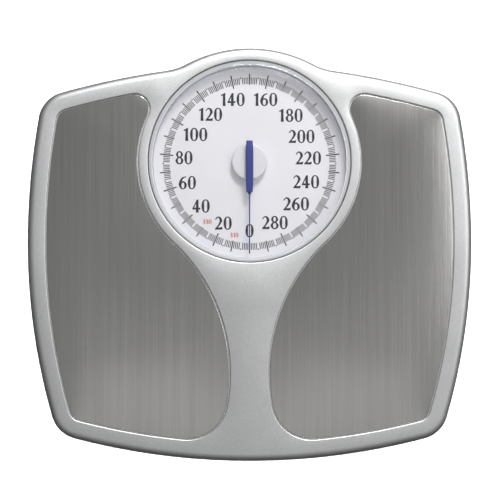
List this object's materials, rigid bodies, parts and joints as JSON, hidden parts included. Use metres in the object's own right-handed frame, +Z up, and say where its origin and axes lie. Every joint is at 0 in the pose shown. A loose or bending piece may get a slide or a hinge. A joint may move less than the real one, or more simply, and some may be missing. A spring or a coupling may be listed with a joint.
{
  "type": "mechanical dial platform scale",
  "caption": "Low platform scale with two brushed tread plates, a large round dial under a domed lens, and a lever, spring, rack and pinion movement inside.",
  "frame": {"origin": "on the floor, under the centre of the outline", "axes": "+Z up, +Y from the user towards the dial end, +X to the user's right, across the two tread plates"},
  "size_m": [0.3944, 0.367, 0.0624],
  "materials": {
    "silver_paint": "fine metallic silver paint, satin",
    "brushed_steel": "stainless sheet brushed front to back",
    "zinc_plate": "zinc-plated pressed steel",
    "spring_steel": "oiled spring steel and hardened knife steel",
    "foot_rubber": "matt black rubber",
    "white_enamel": "satin white paint",
    "dial_print": "printed white dial sheet",
    "white_plastic": "satin white plastic",
    "pointer_blue": "blue paint",
    "clear_plastic": "clear polished plastic",
    "brass": "machined brass",
    "black_plastic": "satin black plastic"
  },
  "bodies": {
    "base": {"base_pan": "silver_paint", "foot_front_left": "foot_rubber", "fulcrum_bracket_front_left": "zinc_plate", "tie_spring_front_left": "spring_steel", "foot_rear_left": "foot_rubber", "fulcrum_bracket_rear_left": "zinc_plate", "tie_spring_rear_left": "spring_steel", "foot_front_right": "foot_rubber", "fulcrum_bracket_front_right": "zinc_plate", "tie_spring_front_right": "spring_steel", "foot_rear_right": "foot_rubber", "fulcrum_bracket_rear_right": "zinc_plate", "tie_spring_rear_right": "spring_steel", "main_spring": "spring_steel", "hanger_guide": "zinc_plate", "crank_bracket": "zinc_plate", "crank_pin": "spring_steel", "mechanism_frame": "zinc_plate", "pinion_bush": "brass", "rack_guide": "black_plastic", "rack_spring": "spring_steel", "dial_tray": "white_enamel", "dial_face": "dial_print"},
    "platform": {"platform_cover": "silver_paint", "dial_lens": "clear_plastic", "lens_retainer": "black_plastic", "tread_plate_left": "brushed_steel", "platform_rail_left": "zinc_plate", "load_shackle_front_left": "zinc_plate", "load_shackle_rear_left": "zinc_plate", "tread_plate_right": "brushed_steel", "platform_rail_right": "zinc_plate", "load_shackle_front_right": "zinc_plate", "load_shackle_rear_right": "zinc_plate"},
    "long_lever_left": {"long_lever_left": "zinc_plate", "link_pin_left": "spring_steel", "long_fulcrum_knife_left": "spring_steel", "long_load_knife_left": "spring_steel"},
    "short_lever_left": {"short_lever_left": "zinc_plate", "short_fulcrum_knife_left": "spring_steel", "short_load_knife_left": "spring_steel"},
    "long_lever_right": {"long_lever_right": "zinc_plate", "link_pin_right": "spring_steel", "long_fulcrum_knife_right": "spring_steel", "long_load_knife_right": "spring_steel"},
    "short_lever_right": {"short_lever_right": "zinc_plate", "short_fulcrum_knife_right": "spring_steel", "short_load_knife_right": "spring_steel"},
    "spring_plate": {"spring_plate": "zinc_plate"},
    "crank": {"bell_crank": "zinc_plate"},
    "rack": {"rack": "brass"},
    "pointer": {"pinion_shaft": "brass", "pointer_hub": "white_plastic", "pointer_needle": "pointer_blue"},
    "hanger": {"spring_hanger": "zinc_plate"},
    "zero_adjuster": {"zero_wheel": "black_plastic", "zero_screw": "brass"}
  },
  "joints": [
    {"name": "platform_press", "type": "slide", "parent": "base", "child": "platform", "axis": [0, 0, -1], "range_m": [0, 0.0015], "stiffness_N_per_m": 979000, "deforming": ["tie_spring_front_left", "tie_spring_rear_left", "tie_spring_front_right", "tie_spring_rear_right"]},
    {"name": "long_lever_rock_left", "type": "hinge", "parent": "base", "child": "long_lever_left", "pos_m": [-0.14, -0.14, 0.021], "axis": [-1, 0, 0], "range_deg": [0, 2.69]},
    {"name": "short_lever_rock_left", "type": "hinge", "parent": "base", "child": "short_lever_left", "pos_m": [-0.14, 0.124, 0.021], "axis": [1, 0, 0], "range_deg": [0, 2.69]},
    {"name": "long_lever_rock_right", "type": "hinge", "parent": "base", "child": "long_lever_right", "pos_m": [0.14, -0.14, 0.021], "axis": [-1, 0, 0], "range_deg": [0, 2.69]},
    {"name": "short_lever_rock_right", "type": "hinge", "parent": "base", "child": "short_lever_right", "pos_m": [0.14, 0.124, 0.021], "axis": [1, 0, 0], "range_deg": [0, 2.69]},
    {"name": "spring_plate_travel", "type": "slide", "parent": "base", "child": "spring_plate", "axis": [0, 0, -1], "range_m": [0, 0.012], "deforming": ["main_spring"]},
    {"name": "crank_rock", "type": "hinge", "parent": "base", "child": "crank", "pos_m": [-0.006, 0.1, 0.0158], "axis": [-1, 0, 0], "range_deg": [0, 45.84]},
    {"name": "rack_travel", "type": "slide", "parent": "base", "child": "rack", "axis": [0, 1, 0], "range_m": [0, 0.01901], "deforming": ["rack_spring"]},
    {"name": "pointer_turn", "type": "hinge", "parent": "base", "child": "pointer", "pos_m": [0, 0.0816, 0.048], "axis": [0, 0, -1], "range_deg": [0, 396]},
    {"name": "zero_adjust", "type": "hinge", "parent": "base", "child": "zero_adjuster", "pos_m": [0, 0.163, 0.0108], "axis": [0, 0, 1], "range_deg": [-360, 360]},
    {"name": "hanger_lift", "type": "slide", "parent": "base", "child": "hanger", "axis": [0, 0, 1], "range_m": [-0.0015, 0.0015]}
  ],
  "couplings": [
    {"joint": "long_lever_rock_left", "follows": "platform_press", "rad_per_m": 31.25},
    {"joint": "short_lever_rock_left", "follows": "platform_press", "rad_per_m": 31.25},
    {"joint": "long_lever_rock_right", "follows": "platform_press", "rad_per_m": 31.25},
    {"joint": "short_lever_rock_right", "follows": "platform_press", "rad_per_m": 31.25},
    {"joint": "spring_plate_travel", "follows": "platform_press", "ratio": 8},
    {"joint": "crank_rock", "follows": "platform_press", "rad_per_m": 533.33},
    {"joint": "rack_travel", "follows": "platform_press", "ratio": 12.671},
    {"joint": "pointer_turn", "follows": "platform_press", "rad_per_m": 4607.7},
    {"joint": "hanger_lift", "follows": "zero_adjust", "m_per_rad": 0.00023873}
  ]
}
